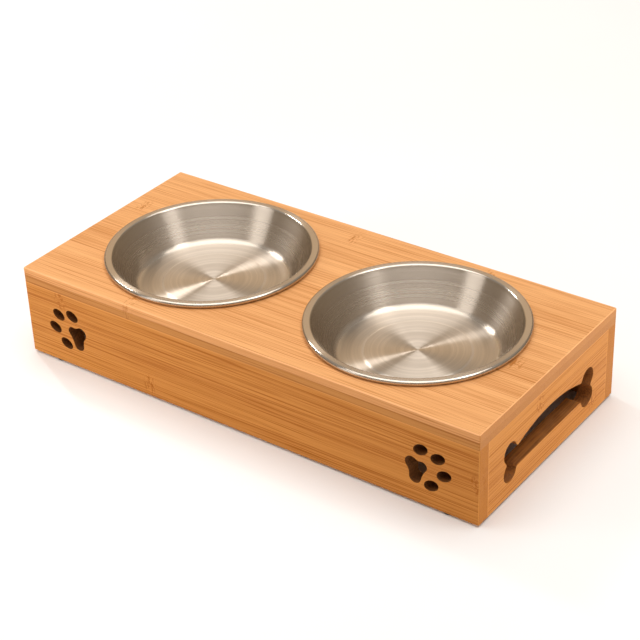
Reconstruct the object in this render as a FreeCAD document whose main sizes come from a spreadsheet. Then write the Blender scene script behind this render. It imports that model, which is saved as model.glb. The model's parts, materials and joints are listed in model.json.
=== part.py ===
"""Raised feeder: a bamboo stand with two steel bowls that hang by their rims in its top board.

The stand is an open-bottomed box of five boards, glued and located by blind dowels, on four thin feet. It is
sized around its bowls: the holes follow the bowls' walls, and the boards follow the holes.

Frame: X runs along the stand, Y from its front to its back, Z up. The origin lies under the middle of the
stand, on the surface that the feet rest on. Lengths are millimetres, angles are degrees.
"""

import FreeCAD, Part
import collections
import math
import os
import re

import Sketcher

# Driving sizes: alias, value, meaning
SIZES = (
    ("mouth_diameter", 146, "bowl, inside, where the wall turns into the rim"),
    ("bowl_depth", 26.5, "top of the rim down to the bowl's floor"),
    ("bowl_lean", 32, "lean of the bowl's wall from upright"),
    ("bowl_corner_radius", 7.5, "round between the bowl's floor and wall, inside"),
    ("sheet_thickness", 0.7, "steel sheet of the bowls"),
    ("floor_step_margin", 13.5, "edge of the bowl's flat floor in to the pressed disc"),
    ("floor_step_height", 0.8, "height of the pressed disc in the bowl's floor"),
    ("floor_step_run", 2.5, "width of the slope round the pressed disc"),
    ("rim_width", 6.4, "mouth of the bowl out to the rim's edge"),
    ("rim_height", 3.6, "height of the rolled rim"),
    ("rim_bend_radius", 2, "round between the bowl's wall and the flat of the rim"),
    ("rim_curl_angle", 250, "turn of the rolled edge"),
    ("rim_seat_gap", 0.2, "rolled edge above the top board"),
    ("hole_clearance", 0.8, "round gap between a bowl's mouth and its hole"),
    ("hole_bridge", 31, "wood between the two holes"),
    ("wall_room", 5, "edge of a hole to the inside of a long board"),
    ("end_room", 19.5, "edge of a hole to the inside of an end board"),
    ("top_thickness", 12, "top board"),
    ("wall_thickness", 11, "long boards and end boards"),
    ("wall_height", 59.5, "long boards and end boards"),
    ("edge_round", 1, "sanded outer edges of the stand"),
    ("dowel_diameter", 6, "dowels"),
    ("dowel_length", 20, "dowels"),
    ("dowel_chamfer", 0.8, "ends of the dowels"),
    ("dowel_clearance", 0.05, "round gap between a dowel and its hole"),
    ("dowel_end_room", 0.5, "glue room at each end of a dowel"),
    ("dowel_skin", 3, "wood left between a blind hole and the board's outer face"),
    ("dowel_gap", 1, "outermost top dowel to the plane of the end board's inside"),
    ("corner_dowel_inset", 14.75, "corner dowels from the upper and lower edges of the boards"),
    ("end_dowel_spacing", 80, "top dowels of an end board"),
    ("handle_low_web", 11.7, "wood under the handle"),
    ("handle_high_web", 4.7, "wood between the handle and the top dowels"),
    ("handle_side_web", 6.75, "wood between the handle and the corner dowels"),
    ("paw_low_web", 13, "wood under a paw"),
    ("paw_high_web", 12, "wood over a paw"),
    ("paw_gap", 2.5, "wood between a paw and the outermost top dowel"),
    ("toe_tilt", 23, "tilt of the toes, down towards the middle of the stand"),
    ("foot_height", 1.5, "feet"),
    ("foot_margin", 1, "foot's edge to the faces of its board"),
    ("foot_inset", 25, "middle of a foot to the end of the stand"),
    ("foot_round", 0.4, "lower edge of the feet"),
)

# Top dowels along a long board, along an end board, and dowels in a corner
LONG_ROW_COUNT = 4
END_ROW_COUNT = 2
CORNER_COUNT = 2

# Lengths derived from the sheet
HOLE_DIAMETER = "(mouth_diameter + 2 * sheet_thickness + 2 * hole_clearance)"
BOWL_SPACING = f"({HOLE_DIAMETER} + hole_bridge)"
STAND_LENGTH = f"({BOWL_SPACING} + {HOLE_DIAMETER} + 2 * end_room + 2 * wall_thickness)"
END_BOARD_LENGTH = f"({HOLE_DIAMETER} + 2 * wall_room)"
STAND_WIDTH = f"({END_BOARD_LENGTH} + 2 * wall_thickness)"
TOP_UNDERSIDE = "(foot_height + wall_height)"
LONG_WALL_MIDDLE = f"({STAND_WIDTH} - wall_thickness) / 2"
END_WALL_MIDDLE = f"({STAND_LENGTH} - wall_thickness) / 2"

DOWEL_HOLE = "dowel_diameter + 2 * dowel_clearance"
WALL_HOLE_DEPTH = "(wall_thickness - dowel_skin)"
TOP_HOLE_DEPTH = "(top_thickness - dowel_skin)"
CORNER_REACH = f"(dowel_length + 2 * dowel_end_room - {WALL_HOLE_DEPTH})"
TOP_REACH = f"(dowel_length + 2 * dowel_end_room - {TOP_HOLE_DEPTH})"
TOP_DOWEL_INSET = "(wall_thickness + dowel_diameter / 2 + dowel_gap)"
LONG_ROW_SPACING = f"({STAND_LENGTH} - 2 * {TOP_DOWEL_INSET}) / {LONG_ROW_COUNT - 1}"
CORNER_SPACING = "(wall_height - 2 * corner_dowel_inset)"

# Handle: a bone with four lobes, an arched upper side and a straight lower side
HANDLE_LOBE_SHARE = 0.257
HANDLE_BLEND_SHARE = 0.08
HANDLE_ARCH_SHARE = 1.2
HANDLE_HEIGHT = f"(wall_height - handle_low_web - handle_high_web - {TOP_REACH})"
HANDLE_LOBE = f"({HANDLE_LOBE_SHARE} * {HANDLE_HEIGHT})"
HANDLE_BLEND = f"({HANDLE_BLEND_SHARE} * {HANDLE_HEIGHT})"
HANDLE_SPAN = f"({END_BOARD_LENGTH} - 2 * {CORNER_REACH} - 2 * handle_side_web - 2 * {HANDLE_LOBE})"
HANDLE_ARCH = f"({HANDLE_ARCH_SHARE} * {HANDLE_SPAN})"
HANDLE_FLOOR = f"(handle_low_web + {HANDLE_LOBE})"
HANDLE_CROWN = f"(handle_low_web + {HANDLE_HEIGHT})"

# Paw: places from its middle, sideways and up, as shares of its height
TOE_PLACE_SHARES = ((-0.26, 0.306), (0.122, 0.378), (-0.397, -0.036), (-0.116, -0.361))
TOE_LENGTH_SHARE = 0.336
TOE_WIDTH_SHARE = 0.238
PAD_LOBE_PLACE_SHARES = ((0.246, -0.294), (0.325, 0.01), (0.087, 0.0))
PAD_LOBE_RADIUS_SHARES = (0.133, 0.145, 0.11)
PAD_BLEND_SHARES = (0.25, 0.15, 0.6)
PAW_REACH_SHARE = 0.565
PAW_HEIGHT = "(wall_height - paw_low_web - paw_high_web)"
PAW_INSET = f"({TOP_DOWEL_INSET} + dowel_diameter / 2 + paw_gap + {PAW_REACH_SHARE} * {PAW_HEIGHT})"
PAW_ACROSS = f"({PAW_INSET} - {STAND_LENGTH} / 2)"
PAW_UP = f"(paw_low_web + {PAW_HEIGHT} / 2)"

# Bowl: heights from the top board's upper face
RIM_TOP = "(rim_seat_gap + rim_height)"
BOWL_FLOOR = f"({RIM_TOP} - bowl_depth)"
CURL_RADIUS = "rim_height / 2"
WALL_DROP = "(bowl_depth - (rim_bend_radius + bowl_corner_radius) * (1 - sin(bowl_lean)))"
FLOOR_RADIUS = (
    f"(mouth_diameter / 2 - {WALL_DROP} * tan(bowl_lean) - bowl_corner_radius * cos(bowl_lean))"
)
STEP_RADIUS = f"({FLOOR_RADIUS} - floor_step_margin)"

# Sketcher's numbers for the origin and for the points of a line or an arc
ORIGIN = -1
START = 1
END = 2
CENTRE = 3

UP = FreeCAD.Vector(0, 0, 1)
QUARTER_TURN = 90
HALF_TURN = 180
FULL_TURN = 360
AXIS_SWAP = FreeCAD.Rotation(FreeCAD.Vector(1, 1, 1), -120)  # X to Z, Z to Y
NEAR = 1e-4

# A round stretch of an outline: its circle in numbers, and whether the outline goes round it leftwards
Round = collections.namedtuple("Round", "x y radius leftwards")

doc = FreeCAD.newDocument("raised_feeder")
sheet = doc.addObject("Spreadsheet::Sheet", "sizes")
for row, (alias, number, meaning) in enumerate(SIZES, start=1):
    sheet.set(f"A{row}", meaning)
    sheet.set(f"B{row}", str(number))
    sheet.setAlias(f"B{row}", alias)
doc.recompute()

ALIAS = re.compile(r"\b(" + "|".join(size[0] for size in SIZES) + r")\b")


def linked(formula):
    """A formula in aliases, written as an expression that reads the sheet."""
    return ALIAS.sub(r"sizes.\1", formula)


def value(formula):
    """A formula's number."""
    return float(sheet.evalExpression(linked(formula)))


def bind(thing, prop, formula):
    """Ties a property to a formula."""
    thing.setExpression(prop, linked(formula))


def origin_part(body, role):
    """One of a body's own planes or axes."""
    return next(part for part in body.Origin.OriginFeatures if part.Role == role)


def new_sketch(body, name, role, height="0"):
    """A sketch on one of a body's planes, raised along that plane's normal."""
    sketch = body.newObject("Sketcher::SketchObject", name)
    sketch.AttachmentSupport = (origin_part(body, role), "")
    sketch.MapMode = "FlatFace"
    bind(sketch, "AttachmentOffset.Base.z", height)
    return sketch


def measure(sketch, kind, where, formula):
    """A dimension tied to a formula."""
    number = value(formula)
    if kind == "Angle":
        number = math.radians(number)
    index = sketch.addConstraint(Sketcher.Constraint(kind, *where, number))
    bind(sketch, f"Constraints[{index}]", formula)


def place(sketch, piece, point, x, y):
    """Ties a point of a sketch to its two distances from the origin."""
    measure(sketch, "DistanceX", (ORIGIN, START, piece, point), x)
    measure(sketch, "DistanceY", (ORIGIN, START, piece, point), y)


def add_line(sketch, start, end):
    """A straight line between two places given as numbers."""
    return sketch.addGeometry(Part.LineSegment(FreeCAD.Vector(*start), FreeCAD.Vector(*end)))


def add_arc(sketch, middle, radius, start_angle, end_angle):
    """An arc that runs leftwards between two angles given in radians."""
    circle = Part.Circle(FreeCAD.Vector(*middle), UP, radius)
    return sketch.addGeometry(Part.ArcOfCircle(circle, start_angle, end_angle))


def add_rectangle(sketch, left, bottom, width, height):
    """A rectangle by its lower left corner and its sides."""
    x0 = value(left)
    y0 = value(bottom)
    x1 = x0 + value(width)
    y1 = y0 + value(height)
    corners = ((x0, y0), (x1, y0), (x1, y1), (x0, y1))
    lines = [add_line(sketch, corners[i], corners[(i + 1) % 4]) for i in range(4)]
    for i, line in enumerate(lines):
        sketch.addConstraint(Sketcher.Constraint("Coincident", line, END, lines[(i + 1) % 4], START))
        sketch.addConstraint(Sketcher.Constraint("Vertical" if i % 2 else "Horizontal", line))
    place(sketch, lines[0], START, left, bottom)
    measure(sketch, "DistanceX", (lines[0], START, lines[0], END), width)
    measure(sketch, "DistanceY", (lines[1], START, lines[1], END), height)


def add_circle(sketch, x, y, diameter):
    """A circle by its middle and diameter."""
    middle = FreeCAD.Vector(value(x), value(y))
    circle = sketch.addGeometry(Part.Circle(middle, UP, value(diameter) / 2))
    place(sketch, circle, CENTRE, x, y)
    measure(sketch, "Diameter", (circle,), diameter)


def add_ellipse(sketch, x, y, length, width, tilt):
    """An ellipse by its middle, its two axes and the tilt of the long one."""
    middle = FreeCAD.Vector(value(x), value(y))
    angle = math.radians(value(tilt))
    along = FreeCAD.Vector(math.cos(angle), math.sin(angle))
    across = FreeCAD.Vector(-math.sin(angle), math.cos(angle))
    long_end = middle + along * (value(length) / 2)
    short_end = middle + across * (value(width) / 2)
    ellipse = sketch.addGeometry(Part.Ellipse(long_end, short_end, middle))
    sketch.exposeInternalGeometry(ellipse)
    long_axis = ellipse + 1
    short_axis = ellipse + 2
    place(sketch, ellipse, CENTRE, x, y)
    measure(sketch, "Distance", (long_axis,), length)
    measure(sketch, "Distance", (short_axis,), width)
    line = sketch.Geometry[long_axis]
    ahead = (line.EndPoint - line.StartPoint).dot(along) > 0
    measure(sketch, "Angle", (long_axis,), tilt if ahead else f"{tilt} + {HALF_TURN}")


def lobe(x, y, radius):
    """A round stretch that bulges outwards, from formulas."""
    return Round(value(x), value(y), value(radius), True)


def blend(first, second, radius):
    """The round that fills the hollow between two bulges, on the right of the line from one to the other."""
    reach = math.hypot(second.x - first.x, second.y - first.y)
    along = ((second.x - first.x) / reach, (second.y - first.y) / reach)
    from_first = first.radius + radius
    from_second = second.radius + radius
    step = (from_first**2 - from_second**2 + reach**2) / (2 * reach)
    aside = math.sqrt(from_first**2 - step**2)
    x = first.x + step * along[0] + aside * along[1]
    y = first.y + step * along[1] - aside * along[0]
    return Round(x, y, radius, False)


def touch(first, second):
    """The point where two neighbouring rounds meet."""
    share = first.radius / (first.radius + second.radius)
    return (first.x + share * (second.x - first.x), first.y + share * (second.y - first.y))


def add_round(sketch, piece, start, end):
    """One round stretch of an outline, with the numbers of its first and last points."""
    angles = [math.atan2(y - piece.y, x - piece.x) for x, y in (start, end)]
    if not piece.leftwards:
        angles.reverse()
    arc = add_arc(sketch, (piece.x, piece.y), piece.radius, *angles)
    return (arc, START, END) if piece.leftwards else (arc, END, START)


def join_smoothly(sketch, runs):
    """Joins the stretches of a closed outline, each flowing into the next."""
    for i, (piece, _, last) in enumerate(runs):
        following, first, _ = runs[(i + 1) % len(runs)]
        sketch.addConstraint(Sketcher.Constraint("Tangent", piece, last, following, first))


def new_body(label):
    """A sub-part that is built up from features."""
    body = doc.addObject("PartDesign::Body", label)
    body.Label = label
    return body


def finish_feature(body, feature):
    """Makes a feature the body's last one."""
    body.Tip = feature
    doc.recompute()
    return feature


def add_pad(body, sketch, name, length, backwards=False):
    """Raises a sketch along its plane's normal, or against it."""
    pad = body.newObject("PartDesign::Pad", name)
    pad.Profile = sketch
    pad.Reversed = backwards
    bind(pad, "Length", length)
    return finish_feature(body, pad)


def add_pocket(body, sketch, name, depth=None, along_normal=False):
    """Cuts a sketch into the body, right through where no depth is given."""
    before = body.Shape.Volume
    pocket = body.newObject("PartDesign::Pocket", name)
    pocket.Profile = sketch
    pocket.Reversed = along_normal
    if depth is None:
        pocket.Type = "ThroughAll"
    else:
        bind(pocket, "Length", depth)
    finish_feature(body, pocket)
    if body.Shape.Volume >= before - NEAR:
        raise RuntimeError(f"{body.Label}: {name} cuts nothing")
    return pocket


def add_mirror(body, original, name, role):
    """Repeats a feature on the other side of one of the body's planes."""
    mirror = body.newObject("PartDesign::Mirrored", name)
    mirror.Originals = [original]
    mirror.MirrorPlane = (origin_part(body, role), [""])
    return finish_feature(body, mirror)


def add_row(body, originals, name, length, count):
    """Repeats features in a row along the body's X axis."""
    row_of = body.newObject("PartDesign::LinearPattern", name)
    row_of.Originals = originals
    row_of.Direction = (origin_part(body, "X_Axis"), [""])
    bind(row_of, "Length", length)
    row_of.Occurrences = count
    return finish_feature(body, row_of)


def dress_edges(body, kind, name, size, chosen):
    """Rounds or chamfers the edges whose middles pass a test."""
    base = body.Tip
    names = [f"Edge{i}" for i, edge in enumerate(base.Shape.Edges, start=1) if chosen(edge.CenterOfMass)]
    dressing = body.newObject(f"PartDesign::{kind}", name)
    dressing.Base = (base, names)
    bind(dressing, "Radius" if kind == "Fillet" else "Size", size)
    return finish_feature(body, dressing)


def put(thing, x="0", y="0", z="0", turn=None):
    """Places a sub-part in the object's frame."""
    if turn is not None:
        thing.Placement = FreeCAD.Placement(FreeCAD.Vector(), turn)
    bind(thing, "Placement.Base.x", x)
    bind(thing, "Placement.Base.y", y)
    bind(thing, "Placement.Base.z", z)
    doc.recompute()


def row_places(spacing, count):
    """Formulas for evenly spaced places about zero."""
    return [f"({2 * i - count + 1} * {spacing} / 2)" for i in range(count)]


def drill(body, name, role, height, places, depth, along_normal=False):
    """Blind holes for dowels."""
    sketch = new_sketch(body, f"{name}_places", role, height)
    for x, y in places:
        add_circle(sketch, x, y, DOWEL_HOLE)
    return add_pocket(body, sketch, name, depth, along_normal)


def top_board():
    """Top board: rounded edges, a hole for each bowl, blind dowel holes underneath."""
    body = new_body("top_board")
    half_length = value(STAND_LENGTH) / 2
    half_width = value(STAND_WIDTH) / 2
    outline = new_sketch(body, "top_outline", "XY_Plane")
    add_rectangle(outline, f"-{STAND_LENGTH} / 2", f"-{STAND_WIDTH} / 2", STAND_LENGTH, STAND_WIDTH)
    add_pad(body, outline, "top_panel", "top_thickness")

    def outer(middle):
        at_end = abs(abs(middle.x) - half_length) < NEAR
        at_side = abs(abs(middle.y) - half_width) < NEAR
        return (at_end or at_side) and middle.z > NEAR

    dress_edges(body, "Fillet", "top_edges", "edge_round", outer)
    hole = new_sketch(body, "bowl_hole_outline", "XY_Plane")
    add_circle(hole, f"{BOWL_SPACING} / 2", "0", HOLE_DIAMETER)
    right_hole = add_pocket(body, hole, "right_bowl_hole", along_normal=True)
    add_mirror(body, right_hole, "left_bowl_hole", "YZ_Plane")
    places = []
    for side in ("", "-"):
        for x in row_places(LONG_ROW_SPACING, LONG_ROW_COUNT):
            places.append((x, f"{side}{LONG_WALL_MIDDLE}"))
        for y in row_places("end_dowel_spacing", END_ROW_COUNT):
            places.append((f"{side}{END_WALL_MIDDLE}", y))
    drill(body, "top_dowel_holes", "XY_Plane", "0", places, TOP_HOLE_DEPTH, along_normal=True)
    put(body, z=TOP_UNDERSIDE)
    return body


def wall_board(label, length, open_ends):
    """A wall board about its own frame: X along it, Y in from its outer face, Z up from its lower edge."""
    body = new_body(label)
    half_length = value(length) / 2
    outline = new_sketch(body, "wall_outline", "XZ_Plane")
    add_rectangle(outline, f"-{length} / 2", "0", length, "wall_height")
    add_pad(body, outline, "wall_panel", "wall_thickness", backwards=True)

    def outer(middle):
        at_end = open_ends and abs(abs(middle.x) - half_length) < NEAR
        at_face = middle.y < NEAR
        at_foot = middle.z < NEAR
        return (at_face and at_foot) or (at_face and at_end) or (at_end and at_foot)

    dress_edges(body, "Fillet", "wall_edges", "edge_round", outer)
    return body


def drill_upper_edge(body, spacing, count):
    """Holes in a wall board's upper edge for the dowels of the top board."""
    places = [(x, "wall_thickness / 2") for x in row_places(spacing, count)]
    drill(body, "upper_dowel_holes", "XY_Plane", "wall_height", places, TOP_REACH)


def long_board(label):
    """Front or back board: full length, with the corner dowels' holes in its inner face."""
    body = wall_board(label, STAND_LENGTH, open_ends=True)
    drill_upper_edge(body, LONG_ROW_SPACING, LONG_ROW_COUNT)
    places = [
        (f"{side}{END_WALL_MIDDLE}", f"wall_height / 2 + {up}")
        for side in ("", "-")
        for up in row_places(CORNER_SPACING, CORNER_COUNT)
    ]
    inside = "-wall_thickness"
    drill(body, "corner_dowel_holes", "XZ_Plane", inside, places, WALL_HOLE_DEPTH, along_normal=True)
    return body


def cut_paws(body):
    """Two paws cut through a board, mirror images of each other: four oval toes and a three-lobed pad."""
    sketch = new_sketch(body, "paw_outline", "XZ_Plane")
    for across, up in TOE_PLACE_SHARES:
        add_ellipse(
            sketch,
            f"{PAW_ACROSS} + {across} * {PAW_HEIGHT}",
            f"{PAW_UP} + {up} * {PAW_HEIGHT}",
            f"{TOE_LENGTH_SHARE} * {PAW_HEIGHT}",
            f"{TOE_WIDTH_SHARE} * {PAW_HEIGHT}",
            "-toe_tilt",
        )
    lobe_formulas = []
    for (across, up), radius in zip(PAD_LOBE_PLACE_SHARES, PAD_LOBE_RADIUS_SHARES):
        x = f"{PAW_ACROSS} + {across} * {PAW_HEIGHT}"
        y = f"{PAW_UP} + {up} * {PAW_HEIGHT}"
        lobe_formulas.append((x, y, f"{radius} * {PAW_HEIGHT}"))
    blend_formulas = [f"{share} * {PAW_HEIGHT}" for share in PAD_BLEND_SHARES]
    lobes = [lobe(*formulas) for formulas in lobe_formulas]
    rounds = []
    for i, first in enumerate(lobes):
        second = lobes[(i + 1) % len(lobes)]
        rounds.append(first)
        rounds.append(blend(first, second, value(blend_formulas[i])))
    runs = []
    for i, piece in enumerate(rounds):
        start = touch(rounds[i - 1], piece)
        end = touch(piece, rounds[(i + 1) % len(rounds)])
        runs.append(add_round(sketch, piece, start, end))
    join_smoothly(sketch, runs)
    for i, (x, y, radius) in enumerate(lobe_formulas):
        lobe_arc = runs[2 * i][0]
        blend_arc = runs[2 * i + 1][0]
        place(sketch, lobe_arc, CENTRE, x, y)
        measure(sketch, "Radius", (lobe_arc,), radius)
        measure(sketch, "Radius", (blend_arc,), blend_formulas[i])
    left_paw = add_pocket(body, sketch, "left_paw")
    add_mirror(body, left_paw, "right_paw", "YZ_Plane")


def cut_handle(body):
    """A carry handle cut through a board, in the outline of a bone."""
    sketch = new_sketch(body, "handle_outline", "XZ_Plane")
    lower = HANDLE_FLOOR
    upper = f"({HANDLE_CROWN} - {HANDLE_LOBE})"
    arch_formulas = ("0", f"{HANDLE_CROWN} - {HANDLE_ARCH}", HANDLE_ARCH)
    lobe_formulas = [
        (f"-{HANDLE_SPAN} / 2", upper, HANDLE_LOBE),
        (f"-{HANDLE_SPAN} / 2", lower, HANDLE_LOBE),
        (f"{HANDLE_SPAN} / 2", lower, HANDLE_LOBE),
        (f"{HANDLE_SPAN} / 2", upper, HANDLE_LOBE),
    ]
    arch = lobe(*arch_formulas)
    upper_left, lower_left, lower_right, upper_right = [lobe(*formulas) for formulas in lobe_formulas]
    radius = value(HANDLE_BLEND)
    floor = value(HANDLE_FLOOR)
    aside = math.sqrt((upper_left.radius + radius) ** 2 - radius**2)
    foot_left = Round(lower_left.x + aside, floor - radius, radius, False)
    foot_right = Round(lower_right.x - aside, floor - radius, radius, False)
    left_side = [
        blend(arch, upper_left, radius),
        upper_left,
        blend(upper_left, lower_left, radius),
        lower_left,
        foot_left,
    ]
    right_side = [
        foot_right,
        lower_right,
        blend(lower_right, upper_right, radius),
        upper_right,
        blend(upper_right, arch, radius),
    ]
    floor_start = (foot_left.x, floor)
    floor_end = (foot_right.x, floor)
    left_points = [touch(arch, left_side[0])]
    left_points += [touch(left_side[i], left_side[i + 1]) for i in range(len(left_side) - 1)]
    left_points.append(floor_start)
    right_points = [floor_end]
    right_points += [touch(right_side[i], right_side[i + 1]) for i in range(len(right_side) - 1)]
    right_points.append(touch(right_side[-1], arch))

    runs = [add_round(sketch, arch, right_points[-1], left_points[0])]
    for i, piece in enumerate(left_side):
        runs.append(add_round(sketch, piece, left_points[i], left_points[i + 1]))
    floor_line = add_line(sketch, floor_start, floor_end)
    runs.append((floor_line, START, END))
    for i, piece in enumerate(right_side):
        runs.append(add_round(sketch, piece, right_points[i], right_points[i + 1]))
    join_smoothly(sketch, runs)

    arcs = [run[0] for run in runs]
    place(sketch, arcs[0], CENTRE, *arch_formulas[:2])
    measure(sketch, "Radius", (arcs[0],), HANDLE_ARCH)
    lobe_arcs = (arcs[2], arcs[4], arcs[8], arcs[10])
    for arc, (x, y, size) in zip(lobe_arcs, lobe_formulas):
        place(sketch, arc, CENTRE, x, y)
        measure(sketch, "Radius", (arc,), size)
    for arc in (arcs[1], arcs[3], arcs[5], arcs[7], arcs[9], arcs[11]):
        measure(sketch, "Radius", (arc,), HANDLE_BLEND)
    sketch.addConstraint(Sketcher.Constraint("Horizontal", floor_line))
    measure(sketch, "DistanceY", (ORIGIN, START, floor_line, START), HANDLE_FLOOR)
    add_pocket(body, sketch, "handle")


def front_board():
    """Front board, with a paw towards each end."""
    body = long_board("front_board")
    cut_paws(body)
    put(body, y=f"-{STAND_WIDTH} / 2", z="foot_height")
    return body


def back_board():
    """Back board, left plain."""
    body = long_board("back_board")
    put(body, y=f"{STAND_WIDTH} / 2", z="foot_height", turn=FreeCAD.Rotation(UP, HALF_TURN))
    return body


def end_board(label, side, turn):
    """End board between the long boards, with dowel holes in its ends and a carry handle."""
    body = wall_board(label, END_BOARD_LENGTH, open_ends=False)
    drill_upper_edge(body, "end_dowel_spacing", END_ROW_COUNT)
    places = [
        ("wall_thickness / 2", f"wall_height / 2 + {up}")
        for up in row_places(CORNER_SPACING, CORNER_COUNT)
    ]
    holes = drill(body, "end_dowel_holes", "YZ_Plane", f"{END_BOARD_LENGTH} / 2", places, CORNER_REACH)
    add_mirror(body, holes, "far_end_dowel_holes", "YZ_Plane")
    cut_handle(body)
    put(body, x=f"{side} * {STAND_LENGTH} / 2", z="foot_height", turn=FreeCAD.Rotation(UP, turn))
    return body


def dowels(label, spacing, count):
    """A row of chamfered dowels along X, standing on their ends, about the middle of the row."""
    body = new_body(label)
    sketch = new_sketch(body, "dowel_outline", "XY_Plane")
    add_circle(sketch, row_places(spacing, count)[0], "0", "dowel_diameter")
    pin = add_pad(body, sketch, "dowel", "dowel_length")
    length = value("dowel_length")

    def rim(middle):
        return middle.z < NEAR or middle.z > length - NEAR

    ends = dress_edges(body, "Chamfer", "dowel_ends", "dowel_chamfer", rim)
    add_row(body, [pin, ends], "dowel_row", f"{spacing} * {count - 1}", count)
    return body


def corner_dowels(label, side_x, side_y):
    """The dowels that locate one end of an end board against a long board."""
    body = dowels(label, CORNER_SPACING, CORNER_COUNT)
    inner_end = f"{STAND_WIDTH} / 2 - dowel_skin - dowel_end_room"
    near_end = f"-({inner_end})" if side_y < 0 else f"{inner_end} - dowel_length"
    height = "foot_height + wall_height / 2"
    put(body, f"{side_x} * {END_WALL_MIDDLE}", near_end, height, AXIS_SWAP)
    return body


def top_dowels(label, spacing, count, x="0", y="0", turn=0):
    """The dowels that locate the top board on one wall board."""
    body = dowels(label, spacing, count)
    height = f"{TOP_UNDERSIDE} + {TOP_HOLE_DEPTH} - dowel_end_room - dowel_length"
    put(body, x, y, height, FreeCAD.Rotation(UP, turn))
    return body


def foot(label, side_x, side_y):
    """A thin disc under a long board."""
    body = new_body(label)
    sketch = new_sketch(body, "foot_outline", "XY_Plane")
    add_circle(sketch, "0", "0", "wall_thickness - 2 * foot_margin")
    add_pad(body, sketch, "disc", "foot_height")
    dress_edges(body, "Fillet", "foot_edge", "foot_round", lambda middle: middle.z < NEAR)
    put(body, f"{side_x} * ({STAND_LENGTH} / 2 - foot_inset)", f"{side_y} * {LONG_WALL_MIDDLE}")
    return body


def bowl_section():
    """Section of a bowl: the sheet's upper side from the axis to the curled edge, then its thickness."""
    sketch = doc.addObject("Sketcher::SketchObject", "bowl_line")
    sketch.Placement.Rotation = FreeCAD.Rotation(FreeCAD.Vector(1, 0, 0), QUARTER_TURN)
    lean = math.radians(value("bowl_lean"))
    floor = value(BOWL_FLOOR)
    step_top = floor + value("floor_step_height")
    step_inner = value(STEP_RADIUS) - value("floor_step_run")
    corner = value("bowl_corner_radius")
    corner_middle = (value(FLOOR_RADIUS), floor + corner)
    wall_foot = (
        corner_middle[0] + corner * math.cos(lean),
        corner_middle[1] - corner * math.sin(lean),
    )
    bend = value("rim_bend_radius")
    mouth = value("mouth_diameter") / 2
    rim_top = value(RIM_TOP)
    bend_middle = (mouth + bend * math.cos(lean), rim_top - bend)
    wall_head = (mouth, bend_middle[1] + bend * math.sin(lean))
    curl = value(CURL_RADIUS)
    curl_middle = (mouth + value("rim_width") - curl, rim_top - curl)
    right_angle = math.pi / 2

    disc = add_line(sketch, (0, step_top), (step_inner, step_top))
    slope = add_line(sketch, (step_inner, step_top), (value(STEP_RADIUS), floor))
    ring = add_line(sketch, (value(STEP_RADIUS), floor), (corner_middle[0], floor))
    corner_arc = add_arc(sketch, corner_middle, corner, -right_angle, -lean)
    wall = add_line(sketch, wall_foot, wall_head)
    bend_arc = add_arc(sketch, bend_middle, bend, right_angle, math.pi - lean)
    flat = add_line(sketch, (bend_middle[0], rim_top), (curl_middle[0], rim_top))
    curl_end = right_angle - math.radians(value("rim_curl_angle"))
    curl_arc = add_arc(sketch, curl_middle, curl, curl_end, right_angle)

    for first, second in ((disc, slope), (slope, ring)):
        sketch.addConstraint(Sketcher.Constraint("Coincident", first, END, second, START))
    smooth_joins = (
        (ring, END, corner_arc, START),
        (corner_arc, END, wall, START),
        (wall, END, bend_arc, END),
        (bend_arc, START, flat, START),
        (flat, END, curl_arc, END),
    )
    for join in smooth_joins:
        sketch.addConstraint(Sketcher.Constraint("Tangent", *join))
    for line in (disc, ring, flat):
        sketch.addConstraint(Sketcher.Constraint("Horizontal", line))
    place(sketch, disc, START, "0", f"{BOWL_FLOOR} + floor_step_height")
    measure(sketch, "DistanceX", (ORIGIN, START, disc, END), f"{STEP_RADIUS} - floor_step_run")
    place(sketch, ring, START, STEP_RADIUS, BOWL_FLOOR)
    measure(sketch, "Radius", (corner_arc,), "bowl_corner_radius")
    measure(sketch, "Angle", (wall,), f"{QUARTER_TURN} - bowl_lean")
    measure(sketch, "DistanceX", (ORIGIN, START, wall, END), "mouth_diameter / 2")
    measure(sketch, "Radius", (bend_arc,), "rim_bend_radius")
    measure(sketch, "DistanceY", (ORIGIN, START, flat, END), RIM_TOP)
    measure(sketch, "Radius", (curl_arc,), CURL_RADIUS)
    curl_across = f"mouth_diameter / 2 + rim_width - {CURL_RADIUS}"
    measure(sketch, "DistanceX", (ORIGIN, START, curl_arc, CENTRE), curl_across)
    curl_drop = f"{CURL_RADIUS} * cos(rim_curl_angle)"
    measure(sketch, "DistanceY", (curl_arc, CENTRE, curl_arc, START), curl_drop)
    doc.recompute()

    section = doc.addObject("Part::Offset2D", "bowl_section")
    section.Source = sketch
    section.Mode = "Skin"
    section.Join = "Intersection"
    section.Fill = True
    bind(section, "Value", "-sheet_thickness")
    doc.recompute()
    return section


def bowl(label, section, side):
    """A drawn bowl with a rolled rim, turned about its own axis."""
    turned = doc.addObject("Part::Revolution", label)
    turned.Label = label
    turned.Source = section
    turned.Axis = UP
    turned.Angle = FULL_TURN
    turned.Solid = True
    put(turned, x=f"{side} * {BOWL_SPACING} / 2", z=f"{TOP_UNDERSIDE} + top_thickness")
    return turned


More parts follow.
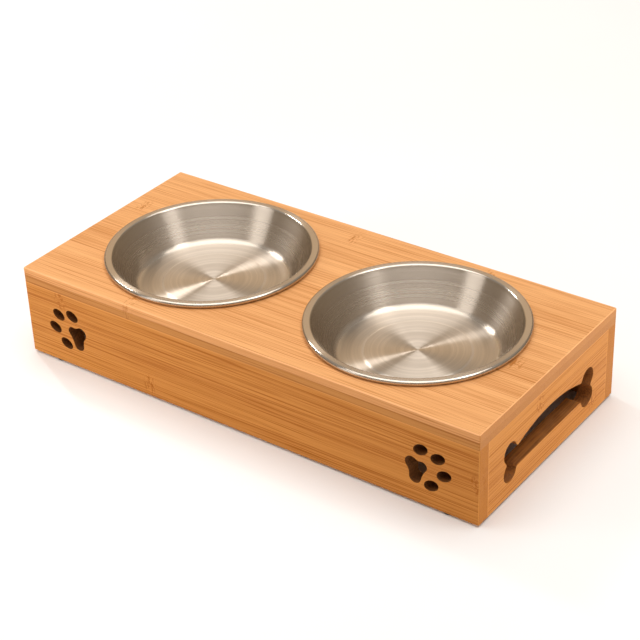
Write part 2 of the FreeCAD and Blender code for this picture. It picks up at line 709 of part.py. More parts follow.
def build():
    """Every sub-part, in its place."""
    pieces = [
        top_board(),
        front_board(),
        back_board(),
        end_board("left_end_board", -1, -QUARTER_TURN),
        end_board("right_end_board", 1, QUARTER_TURN),
    ]
    sides = (("left", -1), ("right", 1))
    for across, side_x in sides:
        for along, side_y in (("front", -1), ("back", 1)):
            pieces.append(corner_dowels(f"{along}_{across}_corner_dowels", side_x, side_y))
            pieces.append(foot(f"{along}_{across}_foot", side_x, side_y))
    for along, side in (("front", "-"), ("back", "")):
        middle = f"{side}{LONG_WALL_MIDDLE}"
        pieces.append(top_dowels(f"top_{along}_dowels", LONG_ROW_SPACING, LONG_ROW_COUNT, y=middle))
    for across, side_x in sides:
        middle = f"{side_x} * {END_WALL_MIDDLE}"
        row = top_dowels(f"top_{across}_dowels", "end_dowel_spacing", END_ROW_COUNT, middle, turn=QUARTER_TURN)
        pieces.append(row)
    section = bowl_section()
    for across, side_x in sides:
        pieces.append(bowl(f"{across}_bowl", section, side_x))
    return pieces


def write(pieces):
    """Checks every object, then writes one file per sub-part."""
    doc.recompute()
    for thing in doc.Objects:
        if "Invalid" in thing.State or "Error" in thing.State:
            raise RuntimeError(f"{thing.Label}: {thing.State}")
    for piece in pieces:
        if piece.Shape.isNull() or not piece.Shape.isValid():
            raise RuntimeError(f"{piece.Label}: no valid shape")
    os.makedirs("parts", exist_ok=True)
    for piece in pieces:
        piece.Shape.exportStep(f"parts/{piece.Label}.step")
        print(piece.Label, len(piece.Shape.Solids), round(piece.Shape.Volume), "mm3")


write(build())
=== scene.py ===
"""Looks for a raised feeder: eased bamboo boards, turned steel bowls, and a pale studio round them.

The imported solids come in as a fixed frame. Boards are copies of their solids with eased edges and
laminated bamboo, bowls are turned afresh from their section, and the dowels and feet keep their solids
under better finishes.
"""

import collections
import json
import math

import bmesh
import bpy
from mathutils import Matrix, Vector


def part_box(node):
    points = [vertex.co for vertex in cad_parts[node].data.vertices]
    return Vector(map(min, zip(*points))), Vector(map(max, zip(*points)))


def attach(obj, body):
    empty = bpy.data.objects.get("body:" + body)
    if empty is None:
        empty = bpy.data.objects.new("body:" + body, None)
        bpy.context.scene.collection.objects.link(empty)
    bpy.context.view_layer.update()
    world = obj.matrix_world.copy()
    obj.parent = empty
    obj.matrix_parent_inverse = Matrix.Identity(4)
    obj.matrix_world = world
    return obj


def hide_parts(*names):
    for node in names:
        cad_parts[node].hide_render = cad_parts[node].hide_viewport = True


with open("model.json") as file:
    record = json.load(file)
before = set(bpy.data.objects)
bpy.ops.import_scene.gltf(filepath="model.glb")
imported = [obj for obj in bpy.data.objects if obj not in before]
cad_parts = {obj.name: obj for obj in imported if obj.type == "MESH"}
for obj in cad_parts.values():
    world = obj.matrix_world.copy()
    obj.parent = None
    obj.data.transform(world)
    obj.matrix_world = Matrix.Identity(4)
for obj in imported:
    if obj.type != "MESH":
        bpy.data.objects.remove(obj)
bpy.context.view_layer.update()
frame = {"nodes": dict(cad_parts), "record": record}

bl_info = {
    "name": "Raised Feeder",
    "version": (1, 0, 0),
    "blender": (4, 5, 0),
    "location": "View3D > Sidebar > Feeder",
    "description": "Finishes a packed bamboo feeder with two steel bowls",
    "category": "Object",
}

MM = 0.001
PER_METRE = 1000
UP = Vector((0, 0, 1))
WHITE = (1, 1, 1)
HALFWAY = 0.5

# The colour sockets of a Mix node
MIX_FIRST = 6
MIX_SECOND = 7
MIX_RESULT = 2

# A smooth change from low to high as a value goes from start to end
Fade = collections.namedtuple("Fade", "start end low high", defaults=(0, 1))

# Axis numbers along a board's strips, across them and through its plies, and where its outer face looks
Grain = collections.namedtuple("Grain", "along across through outward")

# A board's own number, its strengths of fibres, plies and gloss, and a seam and culm marks in millimetres
Board = collections.namedtuple("Board", "grain number contrast plies gloss seam marks")
WALL_STRENGTHS = {"contrast": 1.45, "plies": 0.15, "gloss": 0.5}
BOARDS = {
    "top_board": Board(
        grain=Grain(0, 1, 2, 1),
        number=1,
        contrast=1.15,
        plies=1,
        gloss=1,
        seam=-81,
        marks=((-95, -84), (173, -8), (-13, 74), (98, 82), (-182, 30)),
    ),
    "front_board": Board(
        grain=Grain(0, 2, 1, -1),
        number=2,
        **WALL_STRENGTHS,
        seam=52.5,
        marks=((-80, 12), (-161, 56), (194, 34)),
    ),
    "back_board": Board(
        grain=Grain(0, 2, 1, 1),
        number=3,
        **WALL_STRENGTHS,
        seam=48,
        marks=((66, 20), (-124, 44), (160, 50), (-20, 9)),
    ),
    "left_end_board": Board(
        grain=Grain(1, 2, 0, -1),
        number=4,
        **WALL_STRENGTHS,
        seam=46,
        marks=((-52, 52), (34, 12)),
    ),
    "right_end_board": Board(
        grain=Grain(1, 2, 0, 1),
        number=5,
        **WALL_STRENGTHS,
        seam=50,
        marks=((61, 13), (-14, 54)),
    ),
}


class FeederBoards(bpy.types.PropertyGroup):
    """Sizes and colours of the bamboo boards."""

    top_colour: bpy.props.FloatVectorProperty(
        name="Top",
        description="Palest fibres of the top board",
        subtype="COLOR",
        default=(0.84, 0.43, 0.178),
        min=0,
        max=1,
    )
    wall_colour: bpy.props.FloatVectorProperty(
        name="Walls",
        description="Palest fibres of the front, back and end boards",
        subtype="COLOR",
        default=(0.625, 0.262, 0.058),
        min=0,
        max=1,
    )
    fibre_share: bpy.props.FloatVectorProperty(
        name="Fibres",
        description="Share of a board's colour that its darkest fibres keep",
        subtype="COLOR",
        default=(0.6, 0.43, 0.22),
        min=0,
        max=1,
    )
    inner_share: bpy.props.FloatVectorProperty(
        name="Inner ply",
        description="Share of a board's colour that its inner ply keeps",
        subtype="COLOR",
        default=(0.64, 0.53, 0.29),
        min=0,
        max=1,
    )
    edge_share: bpy.props.FloatVectorProperty(
        name="Outer ply",
        description="Share of a board's colour that its outer ply shows on edge",
        subtype="COLOR",
        default=(0.86, 0.79, 0.68),
        min=0,
        max=1,
    )
    end_share: bpy.props.FloatVectorProperty(
        name="End grain",
        description="Share of a board's colour that its end grain keeps",
        subtype="COLOR",
        default=(0.92, 0.9, 0.75),
        min=0,
        max=1,
    )
    singed_colour: bpy.props.FloatVectorProperty(
        name="Singed",
        description="Walls of the laser cut paws and handles",
        subtype="COLOR",
        default=(0.25, 0.083, 0.012),
        min=0,
        max=1,
    )
    strip_width: bpy.props.FloatProperty(
        name="Strip width",
        description="Bamboo strips, side by side on a board's face",
        default=20 * MM,
        unit="LENGTH",
    )
    edge_ease: bpy.props.FloatProperty(
        name="Eased edges",
        description="Bevel on the edges that the solids leave sharp",
        default=0.4 * MM,
        unit="LENGTH",
    )


class FeederBowls(bpy.types.PropertyGroup):
    """Section and colour of the steel bowls."""

    mouth_diameter: bpy.props.FloatProperty(
        name="Mouth",
        description="Inside of the bowl where the wall turns into the rim",
        default=146 * MM,
        unit="LENGTH",
    )
    depth: bpy.props.FloatProperty(
        name="Depth",
        description="Top of the rim down to the floor",
        default=26.5 * MM,
        unit="LENGTH",
    )
    lean: bpy.props.FloatProperty(
        name="Lean",
        description="Lean of the wall from upright",
        default=math.radians(32),
        subtype="ANGLE",
    )
    corner_radius: bpy.props.FloatProperty(
        name="Corner",
        description="Round between the floor and the wall",
        default=7.5 * MM,
        unit="LENGTH",
    )
    sheet_thickness: bpy.props.FloatProperty(
        name="Sheet",
        description="Thickness of the steel",
        default=0.7 * MM,
        unit="LENGTH",
    )
    step_margin: bpy.props.FloatProperty(
        name="Disc margin",
        description="Edge of the floor in to the pressed disc",
        default=13.5 * MM,
        unit="LENGTH",
    )
    step_height: bpy.props.FloatProperty(
        name="Disc height",
        description="Height of the pressed disc",
        default=0.8 * MM,
        unit="LENGTH",
    )
    step_run: bpy.props.FloatProperty(
        name="Disc slope",
        description="Width of the slope round the pressed disc",
        default=2.5 * MM,
        unit="LENGTH",
    )
    rim_height: bpy.props.FloatProperty(
        name="Rim height",
        description="Height of the rolled rim",
        default=3.6 * MM,
        unit="LENGTH",
    )
    rim_bend: bpy.props.FloatProperty(
        name="Rim bend",
        description="Round between the wall and the flat of the rim",
        default=2 * MM,
        unit="LENGTH",
    )
    rim_curl: bpy.props.FloatProperty(
        name="Rim curl",
        description="Turn of the rolled edge",
        default=math.radians(250),
        subtype="ANGLE",
    )
    # The steel's own colour, tinted golden with a painted warm reflection of the bamboo and the room
    steel_and_reflection_colour: bpy.props.FloatVectorProperty(
        name="Steel",
        description="Satin stainless steel",
        subtype="COLOR",
        default=(0.655, 0.575, 0.49),
        min=0,
        max=1,
    )


class FeederFittings(bpy.types.PropertyGroup):
    """Colours of the dowels and feet."""

    dowel_colour: bpy.props.FloatVectorProperty(
        name="Dowels",
        description="Turned hardwood",
        subtype="COLOR",
        default=(0.64, 0.42, 0.22),
        min=0,
        max=1,
    )
    foot_colour: bpy.props.FloatVectorProperty(
        name="Feet",
        description="Anti-slip rubber",
        subtype="COLOR",
        default=(0.02, 0.02, 0.021),
        min=0,
        max=1,
    )


class FeederStage(bpy.types.PropertyGroup):
    """Floor and camera."""

    floor_colour: bpy.props.FloatVectorProperty(
        name="Floor",
        description="Pale seamless floor",
        subtype="COLOR",
        default=(0.9, 0.9, 0.9),
        min=0,
        max=1,
    )
    floor_size: bpy.props.FloatProperty(
        name="Floor size",
        description="Side of the square floor",
        default=60,
        unit="LENGTH",
    )
    aim: bpy.props.FloatVectorProperty(
        name="Aim",
        description="Point at the middle of the picture",
        subtype="XYZ",
        unit="LENGTH",
        default=(-7.7 * MM, 19.3 * MM, 32.5 * MM),
    )
    distance: bpy.props.FloatProperty(
        name="Distance",
        description="Camera to the point it looks at",
        default=1294.5 * MM,
        unit="LENGTH",
    )
    azimuth: bpy.props.FloatProperty(
        name="Azimuth",
        description="Turn of the camera to the right, from straight in front",
        default=math.radians(36.89),
        subtype="ANGLE",
    )
    elevation: bpy.props.FloatProperty(
        name="Elevation",
        description="Camera above the horizon",
        default=math.radians(31.7),
        subtype="ANGLE",
    )
    roll: bpy.props.FloatProperty(
        name="Roll",
        description="Tilt of the picture",
        default=math.radians(2.29),
        subtype="ANGLE",
    )
    lens: bpy.props.FloatProperty(
        name="Lens",
        description="Focal length",
        default=99.44,
        unit="CAMERA",
    )


class Shader:
    """A material's nodes: an input is a number, a colour, or another node's output."""

    def __init__(self, name):
        self.material = bpy.data.materials.new(name)
        self.material.use_nodes = True
        self.tree = self.material.node_tree
        self.tree.nodes.clear()
        self.surface = self.node("ShaderNodeBsdfPrincipled")
        output = self.node("ShaderNodeOutputMaterial")
        self.tree.links.new(self.surface.outputs["BSDF"], output.inputs["Surface"])

    def feed(self, socket, value):
        """Sets a socket, or links another node's output to it."""
        if isinstance(value, bpy.types.NodeSocket):
            self.tree.links.new(value, socket)
        else:
            socket.default_value = value

    def node(self, kind, inputs=(), **settings):
        """A new node with its settings and inputs."""
        made = self.tree.nodes.new(kind)
        for name, value in settings.items():
            setattr(made, name, value)
        for name, value in dict(inputs).items():
            self.feed(made.inputs[name], value)
        return made

    def finish(self, inputs):
        """Feeds the surface and returns the material."""
        for name, value in inputs.items():
            self.feed(self.surface.inputs[name], value)
        return self.material

    def math(self, operation, *values):
        """A sum on numbers."""
        made = self.node("ShaderNodeMath", operation=operation)
        for socket, value in zip(made.inputs, values):
            self.feed(socket, value)
        return made.outputs[0]

    def vector_math(self, operation, *values):
        """A sum on vectors."""
        made = self.node("ShaderNodeVectorMath", operation=operation)
        for socket, value in zip(made.inputs, values):
            self.feed(socket, value)
        return made.outputs[0]

    def distance(self, first, second):
        """The distance between two places."""
        made = self.node("ShaderNodeVectorMath", operation="DISTANCE")
        self.feed(made.inputs[0], first)
        self.feed(made.inputs[1], second)
        return made.outputs["Value"]

    def fade(self, value, start, end, low=0, high=1):
        """A smooth change from one number to another as a value goes from start to end."""
        inputs = {"Value": value, "From Min": start, "From Max": end, "To Min": low, "To Max": high}
        return self.node("ShaderNodeMapRange", inputs, interpolation_type="SMOOTHSTEP").outputs[0]

    def join(self, x, y, z):
        """A vector from three numbers."""
        return self.node("ShaderNodeCombineXYZ", {"X": x, "Y": y, "Z": z}).outputs[0]

    def noise(self, vector, detail, roughness=0.5):
        """Soft noise about a half, one wave to a unit."""
        inputs = {"Vector": vector, "Scale": 1, "Detail": detail, "Roughness": roughness}
        return self.node("ShaderNodeTexNoise", inputs).outputs["Fac"]

    def chance(self, number):
        """Three numbers drawn by a whole number."""
        made = self.node("ShaderNodeTexWhiteNoise", {"W": number}, noise_dimensions="1D")
        return self.node("ShaderNodeSeparateColor", {"Color": made.outputs["Color"]}).outputs

    def mix(self, share, first, second):
        """A colour between two others."""
        made = self.node("ShaderNodeMix", data_type="RGBA")
        self.feed(made.inputs["Factor"], share)
        self.feed(made.inputs[MIX_FIRST], first)
        self.feed(made.inputs[MIX_SECOND], second)
        return made.outputs[MIX_RESULT]

    def tinted(self, first, second):
        """A colour times another."""
        made = self.node("ShaderNodeMix", data_type="RGBA", blend_type="MULTIPLY")
        made.inputs["Factor"].default_value = 1
        self.feed(made.inputs[MIX_FIRST], first)
        self.feed(made.inputs[MIX_SECOND], second)
        return made.outputs[MIX_RESULT]

    def shaded(self, colour, brightness):
        """A colour times a number."""
        return self.tinted(colour, self.join(brightness, brightness, brightness))

    def bump(self, height, depth, strength=1):
        """A normal from a height between nought and one, deep as given."""
        inputs = {"Height": height, "Distance": depth, "Strength": strength}
        return self.node("ShaderNodeBump", inputs).outputs["Normal"]

    def place(self):
        """The place on the piece in millimetres."""
        coordinates = self.node("ShaderNodeTexCoord").outputs["Object"]
        inputs = {"Vector": coordinates, "Scale": PER_METRE}
        return self.node("ShaderNodeVectorMath", inputs, operation="SCALE").outputs[0]

    def split(self, vector):
        """The three numbers of a vector."""
        return self.node("ShaderNodeSeparateXYZ", {"Vector": vector}).outputs


def opaque(colour, share=WHITE):
    """A property's colour, times another, with full alpha."""
    return (*[part * other for part, other in zip(colour, share)], 1)


# Layers of fibres: waves to a millimetre and detail of their noise, where in it they darken, and how far
Fibres = collections.namedtuple("Fibres", "along across detail start end share")
FIBRE_LAYERS = (
    Fibres(0.0025, 0.07, 2, 0.38, 0.7, 0.16),
    Fibres(0.005, 0.34, 2, 0.45, 0.64, 0.05),
    Fibres(0.009, 1.3, 2, 0.48, 0.66, 0.46),
    Fibres(0.02, 2.6, 1, 0.48, 0.74, 0.32),
)

# Culm marks: half length, half width and sideways spread in millimetres
MARK_LENGTH = 7
MARK_WIDTH = 11
MARK_SPREAD = 9

# Depth in a culm mark by the distance from its middle, as a share of its half length and width
MARK_FADE = Fade(1, 0.25)
NO_MARK = 2

# Waves to a millimetre of the swirl in a culm mark, its detail, and the strokes that it splits into
SWIRL_ALONG = 0.16
SWIRL_ACROSS = 0.2
SWIRL_DETAIL = 2
STROKES = Fibres(0.6, 0.17, 2, 0.52, 0.62, 0.6)

# Blur between plies, and glue between plies and between strips, in millimetres
PLY_BLUR = 0.08
PLY_GLUE = Fade(0.25, 0.05)
STRIP_GLUE = Fade(0.45, 0.1)

# The inner ply's shift as a share of a strip, and what keeps the strips of plies and boards different
INNER_SHIFT_SHARE = 0.43
INNER_STEP = 57
BOARD_STEP = 13
OWN_PART = 40

# How far a strip's own tone, the glue between strips and the glue between plies darken bamboo
STRIP_DARK_SHARE = 0.17
GLUE_DARK_SHARE = 0.6
SEAM_DARK_SHARE = 0.25

# End grain and edges, by how squarely they face along the strips or out of the board
END_FADE = Fade(0.6, 0.9)
EDGE_FADE = Fade(0.6, 0.2)
END_EVEN_SHARE = 0.7

# Painted highlight along the outer arrises: reach in millimetres, strength, and its colour against the
# board's
HIGHLIGHT_FADE = Fade(0.9, 0.2)
HIGHLIGHT_SHARE = 0.7
HIGHLIGHT_COLOUR_SHARES = (1.15, 1.2, 1.4)

# Clear lacquer over bamboo
LACQUER_ROUGHNESS = Fade(0, 1, 0.4, 0.52)
LACQUER_GLOSS = 0.14
COAT_WEIGHT = 0.12
COAT_ROUGHNESS = 0.14
FIBRE_DEPTH = 0.05 * MM
FIBRE_RELIEF = 0.4


def culm_marks(shader, along, across, places):
    """How deep in one of a board's culm marks a place lies, from nought to one."""
    here = shader.join(
        shader.math("DIVIDE", along, MARK_LENGTH),
        shader.math("DIVIDE", across, MARK_WIDTH),
        0,
    )
    nearest = NO_MARK
    for mark_along, mark_across in places:
        middle = (mark_along / MARK_LENGTH, mark_across / MARK_WIDTH, 0)
        nearest = shader.math("MINIMUM", nearest, shader.distance(here, middle))
    return shader.fade(nearest, *MARK_FADE)


def arris_highlight(shader, place, below, node):
    """How near to a board's outer arrises a place lies, from nought to one, for the painted highlight
    there.
    """
    grain = BOARDS[node].grain
    low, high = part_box(node)
    sides = []
    for axis in (grain.along, grain.across):
        sides.append(shader.math("SUBTRACT", place[axis], low[axis] * PER_METRE))
        sides.append(shader.math("SUBTRACT", high[axis] * PER_METRE, place[axis]))
    nearest = sides[0]
    for side in sides[1:]:
        nearest = shader.math("MINIMUM", nearest, side)
    return shader.math("MULTIPLY", shader.fade(below, *HIGHLIGHT_FADE), shader.fade(nearest, *HIGHLIGHT_FADE))


def bamboo(name, node, light):
    """Two plies of glued bamboo strips: fibres, glue lines, culm marks and a clear satin lacquer."""
    settings = bpy.context.scene.feeder_boards
    board = BOARDS[node]
    grain = board.grain
    low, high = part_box(node)
    outer_face = (high if grain.outward > 0 else low)[grain.through] * PER_METRE
    half_thickness = (high - low)[grain.through] * PER_METRE / 2
    strip = settings.strip_width * PER_METRE

    shader = Shader(name)
    place = shader.split(shader.place())
    along = place[grain.along]
    across = place[grain.across]
    through = place[grain.through]
    below = shader.math("MULTIPLY", shader.math("SUBTRACT", outer_face, through), grain.outward)
    inner = shader.fade(below, half_thickness - PLY_BLUR, half_thickness + PLY_BLUR)
    from_joint = shader.math("ABSOLUTE", shader.math("SUBTRACT", below, half_thickness))
    seam = shader.fade(from_joint, *PLY_GLUE)

    shifted = shader.math("MULTIPLY_ADD", inner, INNER_SHIFT_SHARE * strip, across)
    lane = shader.math("DIVIDE", shader.math("SUBTRACT", shifted, board.seam), strip)
    lane_number = shader.math("MULTIPLY_ADD", inner, INNER_STEP, shader.math("FLOOR", lane))
    strip_number = shader.math("ADD", lane_number, BOARD_STEP * board.number)
    glue_draw, tone_draw, part_draw = shader.chance(strip_number)
    beside = shader.math("MULTIPLY", shader.math("PINGPONG", lane, HALFWAY), strip)
    glue = shader.math("MULTIPLY", shader.fade(beside, *STRIP_GLUE), glue_draw)

    marks = culm_marks(shader, along, across, board.marks)
    swirl_place = shader.join(
        shader.math("MULTIPLY", along, SWIRL_ALONG),
        shader.math("MULTIPLY", across, SWIRL_ACROSS),
        through,
    )
    swirl = shader.math("SUBTRACT", shader.noise(swirl_place, SWIRL_DETAIL), HALFWAY)
    bent = shader.math("MULTIPLY_ADD", shader.math("MULTIPLY", marks, MARK_SPREAD), swirl, across)
    own_part = shader.math("MULTIPLY", part_draw, OWN_PART)

    def layer(fibres):
        """One layer of fibres, from nought where it is pale to one where it is dark."""
        field_place = shader.join(
            shader.math("MULTIPLY_ADD", along, fibres.along, own_part),
            shader.math("MULTIPLY", bent, fibres.across),
            shader.math("MULTIPLY", through, fibres.across),
        )
        return shader.fade(shader.noise(field_place, fibres.detail), fibres.start, fibres.end)

    dark = shader.math("MULTIPLY", tone_draw, STRIP_DARK_SHARE)
    for fibres in FIBRE_LAYERS:
        lines = layer(fibres)
        dark = shader.math("MULTIPLY_ADD", lines, fibres.share * board.contrast, dark)
    strokes = shader.math("MULTIPLY", layer(STROKES), marks)
    dark = shader.math("MULTIPLY_ADD", strokes, STROKES.share * board.contrast, dark)
    dark = shader.math("MULTIPLY_ADD", glue, GLUE_DARK_SHARE, dark)
    dark = shader.math("MULTIPLY_ADD", seam, SEAM_DARK_SHARE, dark)

    facing = shader.split(shader.node("ShaderNodeNewGeometry").outputs["Normal"])
    end_grain = shader.fade(shader.math("ABSOLUTE", facing[grain.along]), *END_FADE)
    edge_on = shader.fade(shader.math("ABSOLUTE", facing[grain.through]), *EDGE_FADE)
    evened = shader.math("MULTIPLY", end_grain, END_EVEN_SHARE)
    calm = shader.math("MULTIPLY", shader.math("SUBTRACT", HALFWAY, dark), evened)
    dark = shader.math("ADD", dark, calm)
    colour = shader.mix(dark, opaque(light), opaque(light, settings.fibre_share))

    outer_share = shader.mix(edge_on, opaque(WHITE), opaque(settings.edge_share))
    inward = shader.math("MULTIPLY_ADD", shader.math("SUBTRACT", HALFWAY, inner), evened, inner)
    ply_share = shader.mix(inward, outer_share, opaque(settings.inner_share))
    colour = shader.tinted(colour, shader.mix(board.plies, opaque(WHITE), ply_share))
    colour = shader.tinted(colour, shader.mix(end_grain, opaque(WHITE), opaque(settings.end_share)))
    # Painted highlight: the colour is lightened along the board's outer arrises
    edge_highlight = shader.math("MULTIPLY", arris_highlight(shader, place, below, node), HIGHLIGHT_SHARE)
    colour = shader.mix(edge_highlight, colour, opaque(light, HIGHLIGHT_COLOUR_SHARES))

    height = shader.math("SUBTRACT", 1, shader.math("ADD", lines, shader.math("ADD", glue, strokes)))
    return shader.finish(
        {
            "Base Color": colour,
            "Roughness": shader.fade(lines, *LACQUER_ROUGHNESS),
            "Specular IOR Level": LACQUER_GLOSS * board.gloss,
            "Coat Weight": COAT_WEIGHT * board.gloss,
            "Coat Roughness": COAT_ROUGHNESS,
            "Normal": shader.bump(height, FIBRE_DEPTH, FIBRE_RELIEF),
        }
    )


# Brightness of the charred walls of the paws and handles
PAW_CHAR = 0.65
HANDLE_CHAR = 1.25

# Char: waves to a millimetre along, across and through the strips, waves of its patches, and detail
CHAR_WAVES = (0.03, 0.9, 0.7)
CHAR_DETAIL = 3
PATCH_WAVES = (0.11, 0.11, 0.11)
PATCH_DETAIL = 2

# Where char thins out, and its colour there against the walls'
CHAR_THIN = Fade(0.35, 0.7)
CHAR_THIN_SHARES = (0.55, 0.5, 0.6)

# Shade, roughness and relief of char
CHAR_SHADE = Fade(0.35, 0.65, 1.3, 0.7)
CHAR_ROUGHNESS = Fade(0.3, 0.7, 0.62, 0.8)
CHAR_DEPTH = 0.06 * MM
CHAR_RELIEF = 0.6


def singed(name, grain, char):
    """Laser cut bamboo: brown char that follows the fibres and thins out in places."""
    boards = bpy.context.scene.feeder_boards
    shader = Shader(name)
    place = shader.split(shader.place())
    axes = (grain.along, grain.across, grain.through)
    waved = [shader.math("MULTIPLY", place[axis], waves) for axis, waves in zip(axes, CHAR_WAVES)]
    fibres = shader.noise(shader.join(*waved), CHAR_DETAIL)
    patches = shader.noise(shader.vector_math("MULTIPLY", shader.place(), PATCH_WAVES), PATCH_DETAIL)
    thin = shader.math("MULTIPLY", shader.fade(fibres, *CHAR_THIN), shader.fade(patches, *CHAR_THIN))
    thin_colour = opaque(boards.wall_colour, CHAR_THIN_SHARES)
    colour = shader.mix(thin, opaque(boards.singed_colour), thin_colour)
    shade = CHAR_SHADE._replace(low=CHAR_SHADE.low * char, high=CHAR_SHADE.high * char)
    colour = shader.shaded(colour, shader.fade(fibres, *shade))
    return shader.finish(
        {
            "Base Color": colour,
            "Roughness": shader.fade(fibres, *CHAR_ROUGHNESS),
            "Normal": shader.bump(fibres, CHAR_DEPTH, CHAR_RELIEF),
        }
    )


# Brushing: waves to a millimetre of its drift round the bowl, and of its rings and lines, and detail
DRIFT_WAVES = (0.02, 0.02, 0.02)
DRIFT_DETAIL = 1
DRIFT_REACH = 0.6
RING_WAVES = 0.3
LINE_WAVES = 2.3
BRUSH_DETAIL = 2

# Shares of rings and lines in the brushing, and its shade, roughness and relief
RING_SHARE = 0.6
LINE_SHARE = 0.4
STEEL_SHADE = Fade(0.3, 0.7, 0.88, 1.08)
STEEL_ROUGHNESS = Fade(0.3, 0.7, 0.29, 0.35)
BRUSH_DEPTH = 0.02 * MM
BRUSH_RELIEF = 0.14

# Millimetres over which the wall's and the rim's finish set in, and what they keep of the floor's
WALL_BLEND = 4
WALL_BRUSH_SHARE = 0.25
WALL_ROUGHNESS_SHARE = 0.8
RIM_BLEND = 1
RIM_ROUGHNESS_SHARE = 0.75


def floor_radius(bowls):
    """The edge of a bowl's flat floor."""
    wall_drop = bowls.depth - (bowls.rim_bend + bowls.corner_radius) * (1 - math.sin(bowls.lean))
    wall_run = wall_drop * math.tan(bowls.lean)
    return bowls.mouth_diameter / 2 - wall_run - bowls.corner_radius * math.cos(bowls.lean)


def brushed_steel(name, middle):
    """Satin steel brushed in rings about a bowl's axis, calmer on its wall and smoother on its rim."""
    bowls = bpy.context.scene.feeder_bowls
    mouth = bowls.mouth_diameter / 2 * PER_METRE
    floor_edge = floor_radius(bowls) * PER_METRE
    shader = Shader(name)
    offset = (-middle.x * PER_METRE, -middle.y * PER_METRE, 0)
    place = shader.vector_math("ADD", shader.place(), offset)
    x, y, z = shader.split(place)
    squares = shader.math("ADD", shader.math("MULTIPLY", x, x), shader.math("MULTIPLY", y, y))
    radius = shader.math("SQRT", squares)
    run = shader.math("ADD", radius, z)
    drift_place = shader.vector_math("MULTIPLY", place, DRIFT_WAVES)
    drift = shader.math("MULTIPLY", shader.noise(drift_place, DRIFT_DETAIL), DRIFT_REACH)
    rings = shader.noise(shader.join(shader.math("MULTIPLY", run, RING_WAVES), drift, 0), BRUSH_DETAIL)
    lines = shader.noise(shader.join(shader.math("MULTIPLY", run, LINE_WAVES), drift, 0), BRUSH_DETAIL)
    brushed = shader.math("MULTIPLY_ADD", lines, LINE_SHARE, shader.math("MULTIPLY", rings, RING_SHARE))
    depth = shader.fade(radius, floor_edge, floor_edge + WALL_BLEND, 1, WALL_BRUSH_SHARE)
    brushed = shader.math("MULTIPLY_ADD", shader.math("SUBTRACT", brushed, HALFWAY), depth, HALFWAY)
    on_wall = shader.fade(radius, floor_edge, floor_edge + WALL_BLEND, 1, WALL_ROUGHNESS_SHARE)
    on_rim = shader.fade(radius, mouth - RIM_BLEND, mouth + RIM_BLEND, 1, RIM_ROUGHNESS_SHARE)
    satin = shader.math("MULTIPLY", shader.fade(rings, *STEEL_ROUGHNESS), on_wall)
    shade = shader.fade(brushed, *STEEL_SHADE)
    return shader.finish(
        {
            # The base colour holds the steel and a painted warm reflection
            "Base Color": shader.shaded(opaque(bowls.steel_and_reflection_colour), shade),
            "Metallic": 1,
            "Roughness": shader.math("MULTIPLY", satin, on_rim),
            "Anisotropic": 1,
            "Tangent": shader.vector_math("NORMALIZE", shader.join(x, y, 0)),
            "Normal": shader.bump(brushed, BRUSH_DEPTH, BRUSH_RELIEF),
        }
    )


# Hardwood: waves to a millimetre, detail and roughness of its noise, and where its grain darkens
DOWEL_WAVES = (0.9, 0.35, 0.25)
DOWEL_DETAIL = 3
DOWEL_NOISE_ROUGHNESS = 0.6
DOWEL_DARK = Fade(0.35, 0.7)
DOWEL_DARK_SHARES = (0.7, 0.62, 0.52)
DOWEL_ROUGHNESS = Fade(0.3, 0.7, 0.55, 0.7)
DOWEL_DEPTH = 0.05 * MM
DOWEL_RELIEF = 0.5


def turned_wood(name):
    """Plain hardwood with a fine grain."""
    fittings = bpy.context.scene.feeder_fittings
    shader = Shader(name)
    place = shader.vector_math("MULTIPLY", shader.place(), DOWEL_WAVES)
    grain = shader.noise(place, DOWEL_DETAIL, DOWEL_NOISE_ROUGHNESS)
    dark = shader.fade(grain, *DOWEL_DARK)
    dark_colour = opaque(fittings.dowel_colour, DOWEL_DARK_SHARES)
    return shader.finish(
        {
            "Base Color": shader.mix(dark, opaque(fittings.dowel_colour), dark_colour),
            "Roughness": shader.fade(grain, *DOWEL_ROUGHNESS),
            "Normal": shader.bump(grain, DOWEL_DEPTH, DOWEL_RELIEF),
        }
    )


# Rubber: waves to a millimetre and detail of its pebbles, and their shade, roughness and relief
PEBBLE_WAVES = (2.2, 2.2, 2.2)
PEBBLE_DETAIL = 2
PEBBLE_SHADE = Fade(0.3, 0.7, 0.8, 1.5)
PEBBLE_ROUGHNESS = Fade(0.3, 0.7, 0.72, 0.9)
PEBBLE_DEPTH = 0.06 * MM
PEBBLE_RELIEF = 0.5


def rubber(name):
    """Matt moulded rubber with a fine grain."""
    fittings = bpy.context.scene.feeder_fittings
    shader = Shader(name)
    pebble = shader.noise(shader.vector_math("MULTIPLY", shader.place(), PEBBLE_WAVES), PEBBLE_DETAIL)
    shade = shader.fade(pebble, *PEBBLE_SHADE)
    return shader.finish(
        {
            "Base Color": shader.shaded(opaque(fittings.foot_colour), shade),
            "Roughness": shader.fade(pebble, *PEBBLE_ROUGHNESS),
            "Normal": shader.bump(pebble, PEBBLE_DEPTH, PEBBLE_RELIEF),
        }
    )


# Floor: waves to a millimetre and detail of its mottle, and its shade, roughness and gloss
MOTTLE_WAVES = (0.004, 0.004, 0.004)
MOTTLE_DETAIL = 2
MOTTLE_SHADE = Fade(0.3, 0.7, 0.985, 1)
FLOOR_ROUGHNESS = 0.75
FLOOR_GLOSS = 0.2


